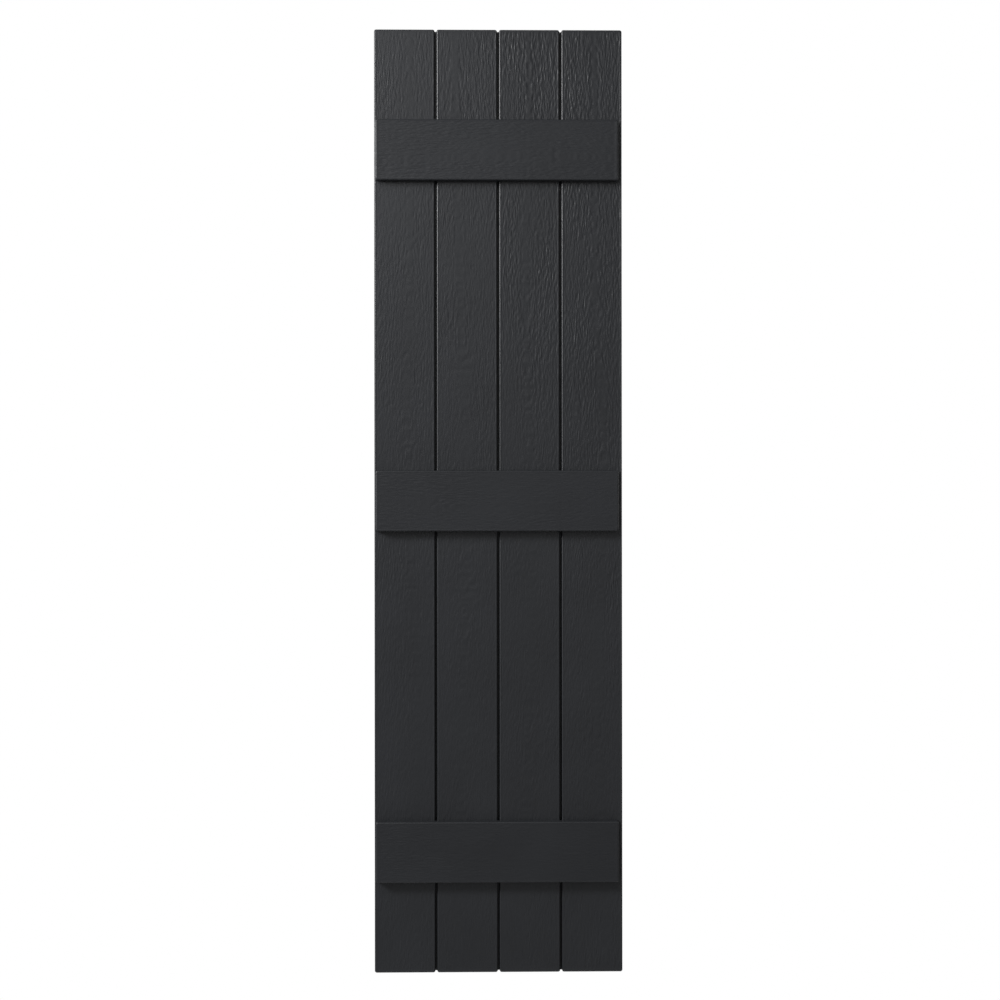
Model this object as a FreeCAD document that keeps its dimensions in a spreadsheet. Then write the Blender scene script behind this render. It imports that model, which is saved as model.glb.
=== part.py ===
"""Closed board and batten shutter: four moulded boards held side by side by three battens.

Every board is an open-backed channel with drafted side walls, a rounded front edge and a ladder
of stiffening ribs. A thin tongue on the back of one board laps behind the side wall of the next,
so no light shows through the gap between them. Each batten is a shallow ribbed tray with a blind
boss for every board, and a screw driven from inside the hollow board holds it there.

Millimetres. +X runs across the shutter, +Z up and -Y out of the wall towards the viewer. The
origin is the middle of the back, on the plane that lies against the wall.
"""
import FreeCAD
import Part
import Sketcher
import os

BOARD_NAMES = ("board_1_left", "board_2", "board_3", "board_4_right")
BATTEN_LEVELS = {"top": 1, "middle": 0, "bottom": -1}
HEAD_SIDES = 6

SIZES = {
    # The board moulding
    "shutter_height": 1447.8,
    "board_width": 93.6,
    "board_gap": 2.2,
    "board_depth": 16.0,
    # The batten moulding
    "batten_width": 93.6,
    "batten_depth": 15.0,
    "batten_inset_left": 2.2,
    "batten_inset_right": 6.4,
    "batten_end_margin": 140.0,
    # What both mouldings share
    "skin": 2.6,
    "draft_angle": 1.5,
    "edge_radius": 2.2,
    "face_corner_radius": 0.9,
    # Ribs inside the mouldings
    "rib_thickness": 1.6,
    "rib_clearance": 2.4,
    "ribs_per_bay": 6,
    "batten_rib_recess": 3.0,
    # The tongue that closes the gap between two boards
    "tongue_thickness": 2.0,
    "tongue_lap": 2.4,
    "tongue_setback": 1.2,
    "tongue_radius": 1.0,
    "tongue_clearance": 0.25,
    # Screws, and the holes and bosses that take them
    "boss_diameter": 10.0,
    "board_hole": 4.8,
    "screw_core": 3.2,
    "pilot_clearance": 0.1,
    "screw_bite": 8.5,
    "pilot_spare": 1.5,
    "head_width": 6.4,
    "head_height": 2.4,
}

BOARD_PITCH = "(Sizes.board_width + Sizes.board_gap)"
SHUTTER_WIDTH = f"({len(BOARD_NAMES)} * {BOARD_PITCH} - Sizes.board_gap)"
BATTEN_LENGTH = f"({SHUTTER_WIDTH} - Sizes.batten_inset_left - Sizes.batten_inset_right)"
BATTEN_SHIFT = "((Sizes.batten_inset_left - Sizes.batten_inset_right) / 2)"
BATTEN_SPACING = "(Sizes.shutter_height / 2 - Sizes.batten_end_margin - Sizes.batten_width / 2)"
RUNG_PITCH = f"({BATTEN_SPACING} / Sizes.ribs_per_bay)"
RUNGS_EACH_WAY = f"floor((Sizes.shutter_height / 2 - Sizes.skin) / {RUNG_PITCH} + 0.5)"
RIB_CREST = "(Sizes.tongue_thickness + Sizes.rib_clearance)"
TONGUE_LENGTH = "(Sizes.shutter_height - 2 * Sizes.tongue_setback)"
TONGUE_REACH = "(Sizes.board_gap + Sizes.skin + Sizes.tongue_lap)"
SEAT = "(Sizes.board_depth - Sizes.skin)"


def make_sheet(doc):
    """The spreadsheet that holds every driving dimension, one row each."""
    sheet = doc.addObject("Spreadsheet::Sheet", "Sizes")
    for row, (alias, number) in enumerate(SIZES.items(), start=1):
        sheet.set(f"A{row}", alias)
        sheet.set(f"B{row}", str(number))
        sheet.setAlias(f"B{row}", alias)
    doc.recompute()


def new_body(doc, name):
    body = doc.addObject("PartDesign::Body", name)
    body.Label = name
    return body


def place(body, across="0", out="0", up="0"):
    """Moves a finished piece: across along X, out along -Y and up along Z."""
    body.setExpression("Placement.Base.x", across)
    body.setExpression("Placement.Base.y", f"-({out})")
    body.setExpression("Placement.Base.z", up)


def origin_feature(body, role):
    return next(f for f in body.Origin.OriginFeatures if f.Role == role)


def attach_to_back(body, feature, across="0", up="0", out="0"):
    """Lays a sketch or primitive on the back plane, facing the viewer, then moves it."""
    feature.AttachmentSupport = [(origin_feature(body, "XZ_Plane"), "")]
    feature.MapMode = "FlatFace"
    feature.setExpression("AttachmentOffset.Base.x", across)
    feature.setExpression("AttachmentOffset.Base.y", up)
    feature.setExpression("AttachmentOffset.Base.z", out)


def new_sketch(body, name, across="0", up="0", out="0"):
    sketch = body.newObject("Sketcher::SketchObject", f"{body.Name}_{name}")
    attach_to_back(body, sketch, across, up, out)
    return sketch


def bind_constraint(sketch, constraint, name, expression):
    index = sketch.addConstraint(constraint)
    sketch.renameConstraint(index, name)
    sketch.setExpression(f"Constraints.{name}", expression)


def draw_rectangle(sketch, width, height):
    """A rectangle centred on the sketch's origin."""
    corners = [FreeCAD.Vector(x, z, 0) for x, z in ((-1, -1), (1, -1), (1, 1), (-1, 1))]
    for i in range(4):
        sketch.addGeometry(Part.LineSegment(corners[i], corners[(i + 1) % 4]), False)
    for i in range(4):
        sketch.addConstraint(Sketcher.Constraint("Coincident", i, 2, (i + 1) % 4, 1))
    for i in range(4):
        direction = "Horizontal" if i % 2 == 0 else "Vertical"
        sketch.addConstraint(Sketcher.Constraint(direction, i))
    sketch.addConstraint(Sketcher.Constraint("Symmetric", 0, 1, 2, 1, -1, 1))
    bind_constraint(sketch, Sketcher.Constraint("DistanceX", 0, 1, 0, 2, 2), "width", width)
    bind_constraint(sketch, Sketcher.Constraint("DistanceY", 1, 1, 1, 2, 2), "height", height)


def draw_rounded_rectangle(sketch, width, height, radius):
    """A rectangle centred on the sketch's origin, its four corners replaced by tangent arcs."""
    half, start = 4.0, 3.0
    quarter = 1.5707963267948966
    sides = (
        ((-start, -half), (start, -half)),
        ((half, -start), (half, start)),
        ((start, half), (-start, half)),
        ((-half, start), (-half, -start)),
    )
    for (x1, z1), (x2, z2) in sides:
        line = Part.LineSegment(FreeCAD.Vector(x1, z1, 0), FreeCAD.Vector(x2, z2, 0))
        sketch.addGeometry(line, False)
    centres = ((start, -start), (start, start), (-start, start), (-start, -start))
    for i, (x, z) in enumerate(centres):
        circle = Part.Circle(FreeCAD.Vector(x, z, 0), FreeCAD.Vector(0, 0, 1), half - start)
        arc = Part.ArcOfCircle(circle, (i - 1) * quarter, i * quarter)
        sketch.addGeometry(arc, False)
    for i in range(4):
        sketch.addConstraint(Sketcher.Constraint("Tangent", i, 2, 4 + i, 1))
        sketch.addConstraint(Sketcher.Constraint("Tangent", 4 + i, 2, (i + 1) % 4, 1))
    for i in range(4):
        direction = "Horizontal" if i % 2 == 0 else "Vertical"
        sketch.addConstraint(Sketcher.Constraint(direction, i))
    for i in range(1, 4):
        sketch.addConstraint(Sketcher.Constraint("Equal", 4, 4 + i))
    sketch.addConstraint(Sketcher.Constraint("Symmetric", 4, 3, 6, 3, -1, 1))
    bind_constraint(sketch, Sketcher.Constraint("Radius", 4, half - start), "radius", radius)
    bind_constraint(
        sketch, Sketcher.Constraint("DistanceX", 3, 1, 1, 1, 2 * half), "width", width)
    bind_constraint(
        sketch, Sketcher.Constraint("DistanceY", 0, 1, 2, 1, 2 * half), "height", height)


def draw_circle(sketch, diameter):
    """A circle round the sketch's origin."""
    circle = Part.Circle(FreeCAD.Vector(0, 0, 0), FreeCAD.Vector(0, 0, 1), 2)
    sketch.addGeometry(circle, False)
    sketch.addConstraint(Sketcher.Constraint("Coincident", 0, 3, -1, 1))
    bind_constraint(sketch, Sketcher.Constraint("Diameter", 0, 4), "diameter", diameter)


def add_pad(body, sketch, length, taper=None):
    """Raises the sketch towards the viewer."""
    pad = body.newObject("PartDesign::Pad", sketch.Name + "_pad")
    pad.Profile = sketch
    pad.setExpression("Length", length)
    if taper:
        pad.setExpression("TaperAngle", taper)
    return pad


def add_pocket(body, sketch, length, taper=None):
    """Cuts the sketch into the piece from behind, towards the viewer."""
    pocket = body.newObject("PartDesign::Pocket", sketch.Name + "_pocket")
    pocket.Profile = sketch
    pocket.Reversed = True
    pocket.setExpression("Length", length)
    if taper:
        pocket.setExpression("TaperAngle", taper)
    return pocket


def repeat(body, feature, axis, count, spacing):
    """Copies a feature in a straight row along one of the piece's own axes."""
    pattern = body.newObject("PartDesign::LinearPattern", feature.Name + "_row")
    pattern.Originals = [feature]
    pattern.Direction = (origin_feature(body, axis), [""])
    pattern.Mode = "Spacing"
    pattern.setExpression("Offset", spacing)
    pattern.setExpression("Occurrences", count)
    body.Tip = pattern


def round_front_edges(doc, body, base):
    """Rounds every edge of the flat front face."""
    doc.recompute()
    front = min(base.Shape.Faces, key=lambda face: face.CenterOfMass.y)
    names = []
    for index, edge in enumerate(base.Shape.Edges, start=1):
        if any(edge.isSame(other) for other in front.Edges):
            names.append(f"Edge{index}")
    fillet = body.newObject("PartDesign::Fillet", body.Name + "_front_edge")
    fillet.Base = (base, names)
    fillet.setExpression("Radius", "Sizes.edge_radius")


def moulded_tray(doc, body, width, height, depth, across="0"):
    """The shell both mouldings start from: drafted sides, a rounded front and an open back."""
    drawn_in = f"{depth} * tan(Sizes.draft_angle)"
    outline = new_sketch(body, "outline", across)
    draw_rounded_rectangle(
        outline, width, height, f"Sizes.face_corner_radius + Sizes.edge_radius + {drawn_in}")
    block = add_pad(body, outline, depth, "-Sizes.draft_angle")
    round_front_edges(doc, body, block)
    cavity = new_sketch(body, "cavity", across)
    draw_rectangle(cavity, f"{width} - 2 * Sizes.skin", f"{height} - 2 * Sizes.skin")
    add_pocket(body, cavity, f"{depth} - Sizes.skin", "-Sizes.draft_angle")


def add_board_ribs(body):
    """Rungs across the hollow of the board, spaced so that each batten falls between two."""
    lowest = f"(0.5 - {RUNGS_EACH_WAY}) * {RUNG_PITCH}"
    rung = new_sketch(body, "rung", up=lowest, out=RIB_CREST)
    draw_rectangle(rung, "Sizes.board_width - Sizes.skin", "Sizes.rib_thickness")
    rung_pad = add_pad(body, rung, f"{SEAT} - {RIB_CREST}")
    repeat(body, rung_pad, "Z_Axis", f"2 * {RUNGS_EACH_WAY}", RUNG_PITCH)


def add_board_holes(body):
    """A clearance hole through the face of the board behind the middle of every batten."""
    hole = new_sketch(body, "hole", up=f"-{BATTEN_SPACING}")
    draw_circle(hole, "Sizes.board_hole")
    drilled = add_pocket(body, hole, "Sizes.board_depth")
    repeat(body, drilled, "Z_Axis", str(len(BATTEN_LEVELS)), BATTEN_SPACING)


def add_tongue(body):
    """The thin strip on the back that laps behind the next board on the right."""
    root = "Sizes.skin / 2"
    middle = f"Sizes.board_width / 2 + ({TONGUE_REACH} - {root}) / 2"
    tongue = new_sketch(body, "tongue", across=middle)
    draw_rounded_rectangle(
        tongue, f"{TONGUE_REACH} + {root}", TONGUE_LENGTH, "Sizes.tongue_radius")
    add_pad(body, tongue, "Sizes.tongue_thickness")


def add_rebate(body):
    """The slot in the left side wall that the last board's tongue passes through."""
    rebate = new_sketch(body, "rebate", across="-Sizes.board_width / 2")
    draw_rectangle(
        rebate, "2 * (Sizes.skin + Sizes.tongue_clearance)",
        f"{TONGUE_LENGTH} + 2 * Sizes.tongue_clearance")
    add_pocket(body, rebate, "Sizes.tongue_thickness + Sizes.tongue_clearance")


def board_centre(index):
    """How far board number index lies across the shutter from its middle."""
    return f"{index - (len(BOARD_NAMES) - 1) / 2} * {BOARD_PITCH}"


def make_board(doc, index):
    body = new_body(doc, BOARD_NAMES[index])
    moulded_tray(doc, body, "Sizes.board_width", "Sizes.shutter_height", "Sizes.board_depth")
    add_board_ribs(body)
    add_board_holes(body)
    if index < len(BOARD_NAMES) - 1:
        add_tongue(body)
    if index > 0:
        add_rebate(body)
    place(body, across=board_centre(index))
    return body


def add_batten_ribs(body):
    """One rib along the batten and a short one across it between neighbouring boards."""
    reach = "Sizes.batten_depth - Sizes.skin - Sizes.batten_rib_recess"
    spine = new_sketch(body, "spine", across=BATTEN_SHIFT, out="Sizes.batten_rib_recess")
    draw_rectangle(spine, f"{BATTEN_LENGTH} - Sizes.skin", "Sizes.rib_thickness")
    add_pad(body, spine, reach)
    gaps = len(BOARD_NAMES) - 1
    rung = new_sketch(
        body, "rung", across=f"{(1 - gaps) / 2} * {BOARD_PITCH}", out="Sizes.batten_rib_recess")
    draw_rectangle(rung, "Sizes.rib_thickness", "Sizes.batten_width - Sizes.skin")
    repeat(body, add_pad(body, rung, reach), "X_Axis", str(gaps), BOARD_PITCH)


def add_batten_bosses(body):
    """Blind bosses on the batten's spine that stand on the boards and take the screws."""
    boards = str(len(BOARD_NAMES))
    boss = new_sketch(body, "boss", across=board_centre(0))
    draw_circle(boss, "Sizes.boss_diameter")
    boss_pad = add_pad(body, boss, "Sizes.batten_depth - Sizes.skin")
    repeat(body, boss_pad, "X_Axis", boards, BOARD_PITCH)
    pilot = new_sketch(body, "pilot", across=board_centre(0))
    draw_circle(pilot, "Sizes.screw_core + Sizes.pilot_clearance")
    pilot_pocket = add_pocket(body, pilot, "Sizes.screw_bite + Sizes.pilot_spare")
    repeat(body, pilot_pocket, "X_Axis", boards, BOARD_PITCH)


def make_batten(doc, level):
    body = new_body(doc, f"{level}_batten")
    moulded_tray(
        doc, body, BATTEN_LENGTH, "Sizes.batten_width", "Sizes.batten_depth", across=BATTEN_SHIFT)
    add_batten_ribs(body)
    add_batten_bosses(body)
    place(body, out="Sizes.board_depth", up=f"{BATTEN_LEVELS[level]} * {BATTEN_SPACING}")
    return body


def make_screw(doc, level, index):
    """A hexagon head screw, its head seated inside the board and its end in the batten's boss."""
    body = new_body(doc, f"screw_{level}_{index + 1}")
    head = body.newObject("PartDesign::AdditivePrism", body.Name + "_head")
    attach_to_back(body, head, out="-Sizes.head_height")
    head.Polygon = HEAD_SIDES
    head.setExpression("Circumradius", f"Sizes.head_width / 2 / cos(180 / {HEAD_SIDES})")
    head.setExpression("Height", "Sizes.head_height")
    shank = body.newObject("PartDesign::AdditiveCylinder", body.Name + "_shank")
    attach_to_back(body, shank)
    shank.setExpression("Radius", "Sizes.screw_core / 2")
    shank.setExpression("Height", "Sizes.skin + Sizes.screw_bite")
    level_height = f"{BATTEN_LEVELS[level]} * {BATTEN_SPACING}"
    place(body, across=board_centre(index), out=SEAT, up=level_height)
    return body


def check_document(doc, pieces):
    """Stops if any feature failed or any piece isn't one sound solid."""
    for obj in doc.Objects:
        if "Invalid" in obj.State or "Error" in obj.State:
            raise RuntimeError(f"{obj.Name} failed: {obj.State}")
    for piece in pieces:
        shape = piece.Shape
        if shape.isNull() or not shape.isValid() or len(shape.Solids) != 1:
            raise RuntimeError(f"{piece.Label} is not one sound solid")


def main():
    doc = FreeCAD.newDocument("Shutter")
    make_sheet(doc)
    pieces = [make_board(doc, index) for index in range(len(BOARD_NAMES))]
    pieces += [make_batten(doc, level) for level in BATTEN_LEVELS]
    for level in BATTEN_LEVELS:
        pieces += [make_screw(doc, level, index) for index in range(len(BOARD_NAMES))]
    doc.recompute()
    check_document(doc, pieces)
    os.makedirs("parts", exist_ok=True)
    for piece in pieces:
        piece.Shape.exportStep(f"parts/{piece.Label}.step")
        box = piece.Shape.BoundBox
        print(piece.Label, round(piece.Shape.Volume / 1000, 2), "cm3",
              [round(v, 2) for v in (box.XMin, box.XMax, box.YMin, box.YMax, box.ZMin, box.ZMax)])


main()
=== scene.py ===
import math

import bmesh
import bpy
import numpy as np
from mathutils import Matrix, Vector


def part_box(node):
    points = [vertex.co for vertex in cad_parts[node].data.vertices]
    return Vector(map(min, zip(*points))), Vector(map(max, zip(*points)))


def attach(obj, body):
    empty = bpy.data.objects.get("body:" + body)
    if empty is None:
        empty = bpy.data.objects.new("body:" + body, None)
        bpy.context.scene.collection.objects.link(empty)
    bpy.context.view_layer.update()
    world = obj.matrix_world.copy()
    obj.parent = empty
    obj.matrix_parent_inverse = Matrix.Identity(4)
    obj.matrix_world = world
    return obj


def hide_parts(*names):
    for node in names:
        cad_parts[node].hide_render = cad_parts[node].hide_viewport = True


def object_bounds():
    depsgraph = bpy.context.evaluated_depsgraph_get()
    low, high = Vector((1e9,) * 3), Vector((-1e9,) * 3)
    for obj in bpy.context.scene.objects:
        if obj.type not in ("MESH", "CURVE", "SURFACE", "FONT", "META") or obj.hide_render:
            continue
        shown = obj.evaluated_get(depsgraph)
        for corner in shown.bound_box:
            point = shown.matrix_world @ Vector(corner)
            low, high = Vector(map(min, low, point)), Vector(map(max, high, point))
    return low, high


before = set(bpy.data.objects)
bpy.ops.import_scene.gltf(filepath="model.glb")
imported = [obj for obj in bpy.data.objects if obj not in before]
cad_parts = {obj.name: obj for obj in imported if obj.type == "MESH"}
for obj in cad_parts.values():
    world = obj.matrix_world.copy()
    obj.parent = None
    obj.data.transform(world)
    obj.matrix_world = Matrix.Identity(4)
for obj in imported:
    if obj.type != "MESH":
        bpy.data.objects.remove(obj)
cad_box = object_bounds()

MM = 0.001
X, Y, Z = 0, 1, 2
FORWARD = (0, -1, 0)
BOARDS = ("board_1_left", "board_2", "board_3", "board_4_right")
BATTENS = ("top_batten", "middle_batten", "bottom_batten")

# Where the photograph shows the shutter, in its pixels
PHOTO_WIDTH = 1000
SHUTTER_SPAN = 943.1
SHUTTER_MIDDLE = (498.15, 500.95)

# The camera: how far off it stands, how it is turned, and its sensor in millimetres
CAMERA_DISTANCE = 3.5
CAMERA_AZIMUTH = math.radians(-1.3)
CAMERA_ROLL = math.radians(0.055)
SENSOR_WIDTH = 36.0

# The wood whose grain is embossed: the heart that its lines run round, and its knots
HEART_REACH = 18 * MM
HEART_DRIFT = 14 * MM
HEART_DRIFT_LENGTH = 330 * MM
HEART_SEED = 1
PITH_DEPTH = 9 * MM
TAPER_RANGE = (0.035, 0.06)
KNOTS = 4
KNOT_WIDTH = 11 * MM
KNOT_LENGTH = 26 * MM
KNOT_BEND = 9 * MM

# Noise in the grain: how far it swings, how wide and how long it is, and its own seed
WANDER = (3.5 * MM, 50 * MM, 160 * MM, 2)
WRIGGLE = (0.4 * MM, 11 * MM, 22 * MM, 6)
FLECKS = (0.55, 1.35 * MM, 4.8 * MM, 3)
SHORT_FLECKS = (0.35, 1.0125 * MM, 2.64 * MM, 4)
PATCHES = (0.4, 30 * MM, 90 * MM, 5)
NOISE_CELLS = 256

# How deep the grain is pressed in, its average share of that, and the average strength of its patches
GRAIN_DEPTH = 0.5 * MM
MEAN_PRESS = 0.5
MEAN_PATCH = 0.8

# How strong the grain is at the low or left end and at the other end of each moulding
BOARD_GRAIN = {
    "board_1_left": (0.9, 0.78),
    "board_2": (0.75, 1.0),
    "board_3": (0.65, 1.45),
    "board_4_right": (0.85, 1.45),
}
BATTEN_GRAIN = {"top_batten": (0.75, 0.85), "middle_batten": (0.5, 0.45), "bottom_batten": (0.5, 0.4)}

# The seeds of the first board and the first batten, and the step from each to the next
BOARD_SEED = 10
BATTEN_SEED = 60
SEED_STEP = 10

# The relief: the steps of its facets, how far in it fades, and how wide it opens round a screw hole
ACROSS_STEP = 0.575 * MM
BOARD_ALONG_STEP = 2.7 * MM
BATTEN_ALONG_STEP = 2.2 * MM
GRAIN_FADE = 1.2 * MM
HOLE_REACH = 4 * MM

# Limits for finding, joining and shading faces
TOUCH = 0.01 * MM
WELD = 0.001 * MM
RIM_SLOPE = -0.05
JOIN_ANGLE = math.radians(1)
SHARP_ANGLE = math.radians(55)
QUAD_CORNERS = 4

# Noise in the materials: how fine it is, and how many finer layers it has
FIBRES = (700, 4)
CLOUDS = (9, 3)
PIMPLES = (1600, 2)
ZINC_CLOUDS = (450, 3)

# How noise is drawn out, and which parts of it the colours and the numbers use
EVEN = (1, 1, 1)
UPRIGHT = (1, 1, 0.06)
LYING = (0.06, 1, 1)
RAMP_ENDS = (0.3, 0.7)
NOISE_MIDDLE = (0.25, 0.75)

# Bumps too fine for the relief: their strength, and their height in metres
PIMPLE_BUMP = (0.5, 0.05 * MM)
FIBRE_BUMP = (0.6, 0.12 * MM)

# Colours, how rough each surface is, and how shiny the plastic is
PLASTIC_COLOURS = ((0.0125, 0.0136, 0.0160), (0.0155, 0.0169, 0.0198))
ZINC_COLOURS = ((0.52, 0.53, 0.55), (0.66, 0.66, 0.67))
FLOOR_COLOUR = (0.8, 0.8, 0.8, 1)
WHITE = (1, 1, 1, 1)
BOARD_ROUGHNESS = (0.35, 0.43)
BATTEN_ROUGHNESS = (0.42, 0.50)
ZINC_ROUGHNESS = (0.26, 0.42)
FLOOR_ROUGHNESS = 0.7
BOARD_SHINE = 0.5
BATTEN_SHINE = 0.41

# The studio: how bright the room is, where its lamps point, and its floor in metres
ROOM_LIGHT = 0.245
LAMP_AIM = (0, 0, 0.15)
BACK_LAMP_AIM = (0, 0, 0)
FLOOR_RADIUS = 0.95
FLOOR_LEVEL = -1.4
FLOOR_SIDES = 96


def ease(share):
    """An S-shaped rise from 0 to 1."""
    return share * share * (3 - 2 * share)


def smooth_noise(u, v, seed):
    """Noise from -1 to 1 that changes over about one unit of u and of v."""
    table = np.random.default_rng(seed).uniform(-1.0, 1.0, (NOISE_CELLS, NOISE_CELLS))
    left = np.floor(u).astype(int)
    low = np.floor(v).astype(int)
    across = ease(u - left)
    up = ease(v - low)
    left0, left1 = left % NOISE_CELLS, (left + 1) % NOISE_CELLS
    low0, low1 = low % NOISE_CELLS, (low + 1) % NOISE_CELLS
    bottom = table[left0, low0] * (1 - across) + table[left1, low0] * across
    top = table[left0, low1] * (1 - across) + table[left1, low1] * across
    return bottom * (1 - up) + top * up


def grain_noise(across, along, kind, seed):
    """Noise of one kind, drawn out along the grain."""
    swing, width, length, own_seed = kind
    return swing * smooth_noise(across / width, along / length, seed + own_seed)


def wood_lines(across, along, seed):
    """Across the wood, in metres: equal values run as arches up the middle and bend round knots."""
    rng = np.random.default_rng(seed)
    drift = HEART_DRIFT * smooth_noise(along / HEART_DRIFT_LENGTH, along * 0, seed + HEART_SEED)
    heart = rng.uniform(-HEART_REACH, HEART_REACH) + drift
    taper = rng.choice((-1, 1)) * rng.uniform(*TAPER_RANGE)
    bends = grain_noise(across, along, WANDER, seed) + grain_noise(across, along, WRIGGLE, seed)
    lines = np.sqrt((across - heart + bends) ** 2 + PITH_DEPTH ** 2) - taper * along
    for _ in range(KNOTS):
        side, height = rng.uniform(across.min(), across.max()), rng.uniform(along.min(), along.max())
        reach = ((across - side) / KNOT_WIDTH) ** 2 + ((along - height) / KNOT_LENGTH) ** 2
        lines = lines + KNOT_BEND * np.exp(-reach)
    return lines


def grain_depth(across, along, seed):
    """How deep the embossed grain is pressed in at a point of the face, as a share of GRAIN_DEPTH."""
    lines = wood_lines(across, along, seed)
    flecks = grain_noise(lines, along, FLECKS, seed) + grain_noise(lines, along, SHORT_FLECKS, seed)
    patches = MEAN_PATCH + grain_noise(across, along, PATCHES, seed)
    return np.clip(MEAN_PRESS + patches * flecks, 0, 1)


def places_between(low, high, step):
    """Evenly spaced places from low to high, both included, about one step apart."""
    return np.linspace(low, high, max(2, round((high - low) / step) + 1))


def fade_in(places):
    """Rises from 0 at both ends of a row of places to 1 a little way in."""
    return np.clip(np.minimum(places - places[0], places[-1] - places) / GRAIN_FADE, 0, 1)


def relief_patch(front, across, along, columns, rows, holes, seed, strength):
    """A sheet of small facets in the plane of the front, with the grain pressed into it."""
    side, length = np.meshgrid(columns, rows)
    middle = (columns[0] + columns[-1]) / 2
    depth = GRAIN_DEPTH * np.interp(length, (rows[0], rows[-1]), strength)
    press = depth * grain_depth(side - middle, length, seed)
    press *= fade_in(columns)[np.newaxis, :] * fade_in(rows)[:, np.newaxis]
    open_cells = np.zeros((len(rows) - 1, len(columns) - 1), bool)
    for hole_side, hole_length in holes:
        reach = np.maximum(abs(side - hole_side), abs(length - hole_length))
        press *= np.clip((reach - HOLE_REACH) / GRAIN_FADE, 0, 1)
        open_cells |= (reach < HOLE_REACH)[:-1, :-1]
    places = np.zeros((*side.shape, 3))
    places[..., across] = side
    places[..., along] = length
    places[..., Y] = front + press
    index = np.arange(side.size).reshape(side.shape)
    quads = np.stack((index[:-1, :-1], index[:-1, 1:], index[1:, 1:], index[1:, :-1]), axis=-1)
    # The facets look forward whichever way the grain runs
    if across > along:
        quads = quads[..., ::-1]
    patch = bpy.data.meshes.new("patch")
    patch.from_pydata(places.reshape(-1, 3), [], quads[~open_cells].tolist())
    return patch


def cut_out_front(bm, front, across, along, along_step):
    """Deletes the flat front, and gives the columns and rows of the relief that takes its place."""
    flat = [face for face in bm.faces if all(abs(v.co.y - front) < TOUCH for v in face.verts)]
    border = [corner.co.copy() for face in flat for corner in face.verts]
    bmesh.ops.delete(bm, geom=flat, context="FACES")
    side_low, side_high = (pick(place[across] for place in border) for pick in (min, max))
    straight = [place[along] for place in border if abs(place[across] - side_low) < WELD]
    columns = places_between(side_low, side_high, ACROSS_STEP)
    rows = places_between(min(straight), max(straight), along_step)
    return columns, rows


def rim_faces(bm):
    """The faces of the rounded rim, which look at least a little forward."""
    return [face for face in bm.faces if face.normal.y < RIM_SLOPE]


def long_edges(faces, axis, ends):
    """The edges of the rounded rim that run straight from one end of the front to the other."""
    found = []
    for edge in dict.fromkeys(edge for face in faces for edge in face.edges):
        low, high = sorted(corner.co[axis] for corner in edge.verts)
        if abs(low - ends[0]) < TOUCH and abs(high - ends[1]) < TOUCH:
            found.append(edge)
    return found


def divide_rim(bm, along, rows):
    """Cuts the straight parts of the rim into strips that meet the rows of the relief."""
    bmesh.ops.join_triangles(
        bm, faces=rim_faces(bm), angle_face_threshold=JOIN_ANGLE, angle_shape_threshold=math.pi)
    edges = long_edges(rim_faces(bm), along, (rows[0], rows[-1]))
    bmesh.ops.subdivide_edges(bm, edges=edges, cuts=len(rows) - 2, use_grid_fill=True)


def sew_in(bm, patch):
    """Welds the relief into the opening and fills what is left open round it."""
    bm.from_mesh(patch)
    bpy.data.meshes.remove(patch)
    bmesh.ops.remove_doubles(bm, verts=bm.verts, dist=WELD)
    gaps = [edge for edge in bm.edges if len(edge.link_faces) == 1]
    bmesh.ops.triangle_fill(bm, edges=gaps, normal=FORWARD, use_beauty=True)
    bmesh.ops.triangulate(bm, faces=[face for face in bm.faces if len(face.verts) > QUAD_CORNERS])
    bmesh.ops.dissolve_degenerate(bm, dist=WELD, edges=bm.edges)
    loose = [corner for corner in bm.verts if not corner.link_faces]
    bmesh.ops.delete(bm, geom=loose, context="VERTS")


def smooth_shading(piece):
    """Smooth shading made anew from the shape, with sharp edges sharp and flat walls flat."""
    piece.data.attributes.remove(piece.data.attributes["custom_normal"])
    piece.data.shade_smooth()
    piece.data.set_sharp_from_angle(angle=SHARP_ANGLE)
    weighted = piece.modifiers.new("flat walls", "WEIGHTED_NORMAL")
    weighted.keep_sharp = True


def add_object(name, data):
    """A new object in the scene that shows the given mesh, lamp or camera."""
    new = bpy.data.objects.new(name, data)
    bpy.context.scene.collection.objects.link(new)
    return new


def grained_copy(node, across, along, along_step, holes, seed, strength):
    """A copy of a moulding whose flat front carries the embossed wood grain as real relief."""
    bm = bmesh.new()
    bm.from_mesh(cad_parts[node].data)
    bmesh.ops.remove_doubles(bm, verts=bm.verts, dist=WELD)
    bm.normal_update()
    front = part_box(node)[0].y
    columns, rows = cut_out_front(bm, front, across, along, along_step)
    divide_rim(bm, along, rows)
    sew_in(bm, relief_patch(front, across, along, columns, rows, holes, seed, strength))
    mesh = bpy.data.meshes.new("grained_" + node)
    bm.to_mesh(mesh)
    bm.free()
    piece = add_object("grained_" + node, mesh)
    smooth_shading(piece)
    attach(piece, "root")
    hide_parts(node)
    return piece


def screw_holes(index):
    """Where the screws pass through the face of a board, across and up, behind each batten."""
    low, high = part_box(f"screw_top_{index + 1}")
    across = (low.x + high.x) / 2
    places = []
    for batten in BATTENS:
        bottom, top = (corner.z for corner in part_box(batten))
        places.append((across, (bottom + top) / 2))
    return places


def link(tree, source, target):
    """Joins the output of one node to an input of another."""
    tree.links.new(source, target)


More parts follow.
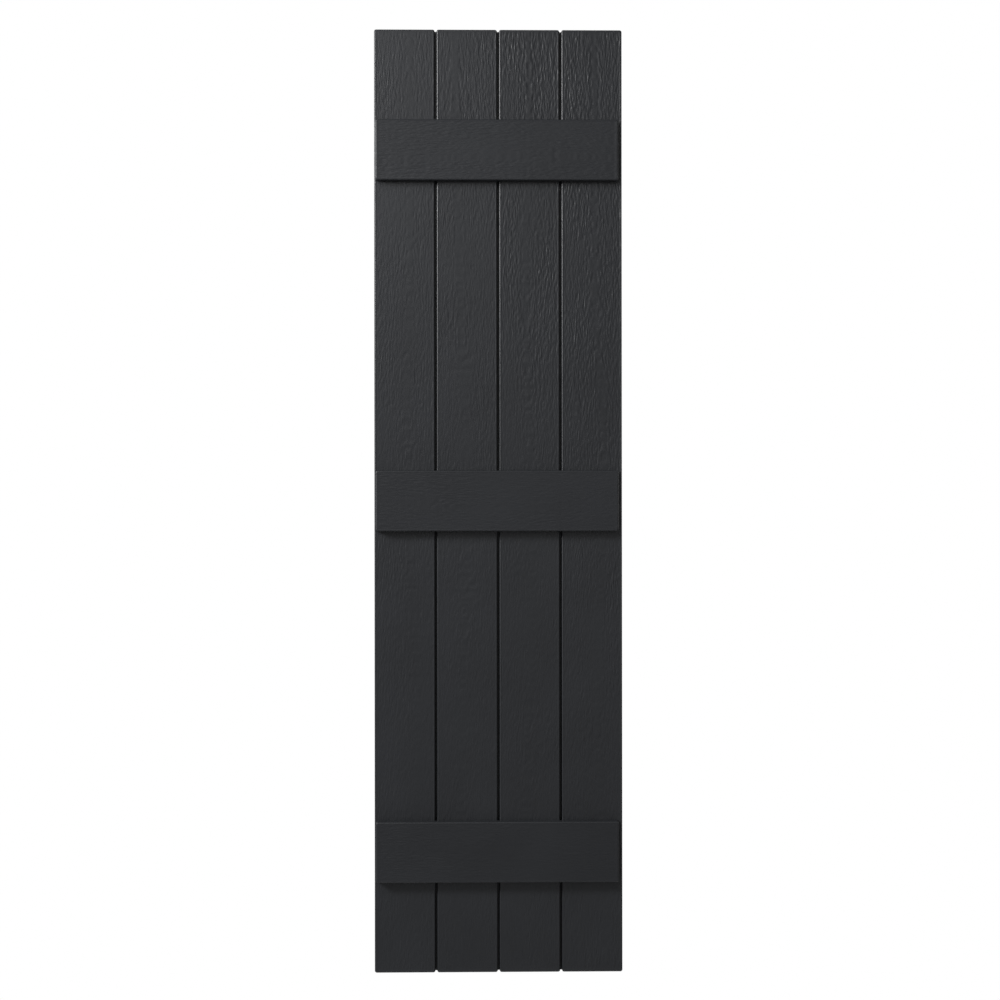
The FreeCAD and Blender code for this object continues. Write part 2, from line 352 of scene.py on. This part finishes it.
def stretched_noise(tree, place, stretch, kind):
    """Noise of one kind in a material, even or drawn out along one axis."""
    mapping = tree.nodes.new("ShaderNodeMapping")
    mapping.inputs["Scale"].default_value = stretch
    link(tree, place, mapping.inputs["Vector"])
    noise = tree.nodes.new("ShaderNodeTexNoise")
    noise.inputs["Scale"].default_value, noise.inputs["Detail"].default_value = kind
    link(tree, mapping.outputs["Vector"], noise.inputs["Vector"])
    return noise.outputs["Fac"]


def blended_colour(tree, factor, colours):
    """A colour that noise shifts between a dark and a light one."""
    ramp = tree.nodes.new("ShaderNodeValToRGB")
    for stop, position, colour in zip(ramp.color_ramp.elements, RAMP_ENDS, colours):
        stop.position = position
        stop.color = (*colour, 1)
    link(tree, factor, ramp.inputs["Fac"])
    return ramp.outputs["Color"]


def spread(tree, factor, ends):
    """Turns the middle half of a noise into a range of numbers."""
    scaled = tree.nodes.new("ShaderNodeMapRange")
    scaled.inputs["From Min"].default_value, scaled.inputs["From Max"].default_value = NOISE_MIDDLE
    scaled.inputs["To Min"].default_value, scaled.inputs["To Max"].default_value = ends
    link(tree, factor, scaled.inputs["Value"])
    return scaled.outputs["Result"]


def bump(tree, height, size):
    """A node that raises fine bumps on the surface."""
    raised = tree.nodes.new("ShaderNodeBump")
    raised.inputs["Strength"].default_value, raised.inputs["Distance"].default_value = size
    link(tree, height, raised.inputs["Height"])
    return raised


def new_material(name):
    """A new material, its nodes and its main shader."""
    material = bpy.data.materials.new(name)
    material.use_nodes = True
    tree = material.node_tree
    return material, tree, tree.nodes["Principled BSDF"]


def plastic(name, stretch, roughness, shine):
    """Near-black satin plastic, its finer grain drawn out along one axis."""
    material, tree, shader = new_material(name)
    place = tree.nodes.new("ShaderNodeTexCoord").outputs["Object"]
    fibres = stretched_noise(tree, place, stretch, FIBRES)
    cloud = stretched_noise(tree, place, EVEN, CLOUDS)
    pimples = stretched_noise(tree, place, EVEN, PIMPLES)
    link(tree, blended_colour(tree, cloud, PLASTIC_COLOURS), shader.inputs["Base Color"])
    link(tree, spread(tree, fibres, roughness), shader.inputs["Roughness"])
    fine = bump(tree, pimples, PIMPLE_BUMP)
    coarse = bump(tree, fibres, FIBRE_BUMP)
    link(tree, fine.outputs["Normal"], coarse.inputs["Normal"])
    link(tree, coarse.outputs["Normal"], shader.inputs["Normal"])
    shader.inputs["Specular IOR Level"].default_value = shine
    return material


def zinc():
    """Zinc plated steel with faint clouding."""
    material, tree, shader = new_material("zinc_plated_steel")
    place = tree.nodes.new("ShaderNodeTexCoord").outputs["Object"]
    cloud = stretched_noise(tree, place, EVEN, ZINC_CLOUDS)
    link(tree, blended_colour(tree, cloud, ZINC_COLOURS), shader.inputs["Base Color"])
    link(tree, spread(tree, cloud, ZINC_ROUGHNESS), shader.inputs["Roughness"])
    shader.inputs["Metallic"].default_value = 1.0
    return material


def dress_boards():
    """The boards get grain that runs upright."""
    material = plastic("upright_grain_plastic", UPRIGHT, BOARD_ROUGHNESS, BOARD_SHINE)
    for index, node in enumerate(BOARDS):
        seed = BOARD_SEED + SEED_STEP * index
        board = grained_copy(node, X, Z, BOARD_ALONG_STEP, screw_holes(index), seed, BOARD_GRAIN[node])
        board.data.materials.append(material)


def dress_battens():
    """The battens get grain that lies across the shutter."""
    material = plastic("lying_grain_plastic", LYING, BATTEN_ROUGHNESS, BATTEN_SHINE)
    for index, node in enumerate(BATTENS):
        seed = BATTEN_SEED + SEED_STEP * index
        batten = grained_copy(node, Z, X, BATTEN_ALONG_STEP, [], seed, BATTEN_GRAIN[node])
        batten.data.materials.append(material)


def plate_screws():
    """The screws keep their solids and get a metal of their own."""
    metal = zinc()
    for node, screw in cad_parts.items():
        if node.startswith("screw_"):
            screw.data.materials.clear()
            screw.data.materials.append(metal)


def make_camera():
    """A level camera, a little left of the middle, that frames the shutter as the photograph does."""
    camera = add_object("camera", bpy.data.cameras.new("camera"))
    height = cad_box[1].z - cad_box[0].z
    pixel = height / SHUTTER_SPAN
    aim_across = (PHOTO_WIDTH / 2 - SHUTTER_MIDDLE[0]) * pixel
    aim_up = (SHUTTER_MIDDLE[1] - PHOTO_WIDTH / 2) * pixel
    camera.data.sensor_width = SENSOR_WIDTH
    to_boards = CAMERA_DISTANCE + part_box(BOARDS[0])[0].y
    camera.data.lens = SENSOR_WIDTH * to_boards * SHUTTER_SPAN / PHOTO_WIDTH / height
    camera.location = (
        aim_across + CAMERA_DISTANCE * math.sin(CAMERA_AZIMUTH),
        -CAMERA_DISTANCE * math.cos(CAMERA_AZIMUTH),
        aim_up)
    camera.rotation_euler = (math.pi / 2, CAMERA_ROLL, CAMERA_AZIMUTH)
    bpy.context.scene.camera = camera


def make_world():
    """White to look at, and a dimmer, even light on the object."""
    world = bpy.data.worlds.new("studio")
    bpy.context.scene.world = world
    world.use_nodes = True
    tree = world.node_tree
    lit = tree.nodes["Background"]
    lit.inputs["Color"].default_value = WHITE
    lit.inputs["Strength"].default_value = ROOM_LIGHT
    seen = tree.nodes.new("ShaderNodeBackground")
    seen.inputs["Color"].default_value = WHITE
    path = tree.nodes.new("ShaderNodeLightPath")
    mix = tree.nodes.new("ShaderNodeMixShader")
    to_camera, on_object, behind_object = mix.inputs
    link(tree, path.outputs["Is Camera Ray"], to_camera)
    link(tree, lit.outputs["Background"], on_object)
    link(tree, seen.outputs["Background"], behind_object)
    link(tree, mix.outputs["Shader"], tree.nodes["World Output"].inputs["Surface"])


def add_softbox(name, place, aim, width, watts):
    """A soft square lamp at one place, pointed at another, in metres."""
    lamp = bpy.data.lights.new(name, "AREA")
    lamp.size = width
    lamp.energy = watts
    softbox = add_object(name, lamp)
    softbox.location = place
    softbox.rotation_mode = "QUATERNION"
    softbox.rotation_quaternion = (Vector(aim) - Vector(place)).to_track_quat("-Z", "Y")
    softbox.visible_camera = False


def make_lights():
    """Soft light from the upper left, as in the photograph, weak fills and one lamp behind."""
    add_softbox("key_left", (-2.2, -1.3, 1.0), LAMP_AIM, width=0.7, watts=83)
    add_softbox("key_high", (-1.2, -1.6, 1.7), LAMP_AIM, width=0.9, watts=19)
    add_softbox("fill_high", (-0.4, -3.4, 1.2), LAMP_AIM, width=1.0, watts=5)
    add_softbox("fill_right", (0.9, -3.4, -0.2), LAMP_AIM, width=1.0, watts=1.3)
    add_softbox("side_right", (2.2, 0.25, 0.3), LAMP_AIM, width=0.7, watts=8)
    add_softbox("back", (0.5, 3.0, 1.2), BACK_LAMP_AIM, width=2.0, watts=30)


def make_floor():
    """A pale round floor below the shutter, out of the photograph's frame."""
    bm = bmesh.new()
    bmesh.ops.create_circle(bm, cap_ends=True, segments=FLOOR_SIDES, radius=FLOOR_RADIUS)
    bmesh.ops.translate(bm, verts=bm.verts, vec=(0, 0, FLOOR_LEVEL))
    mesh = bpy.data.meshes.new("floor")
    bm.to_mesh(mesh)
    bm.free()
    floor = add_object("floor", mesh)
    material, _, shader = new_material("pale_floor")
    shader.inputs["Base Color"].default_value = FLOOR_COLOUR
    shader.inputs["Roughness"].default_value = FLOOR_ROUGHNESS
    mesh.materials.append(material)


bpy.context.scene.view_settings.view_transform = "Standard"
make_camera()
make_world()
make_lights()
make_floor()
dress_boards()
dress_battens()
plate_screws()
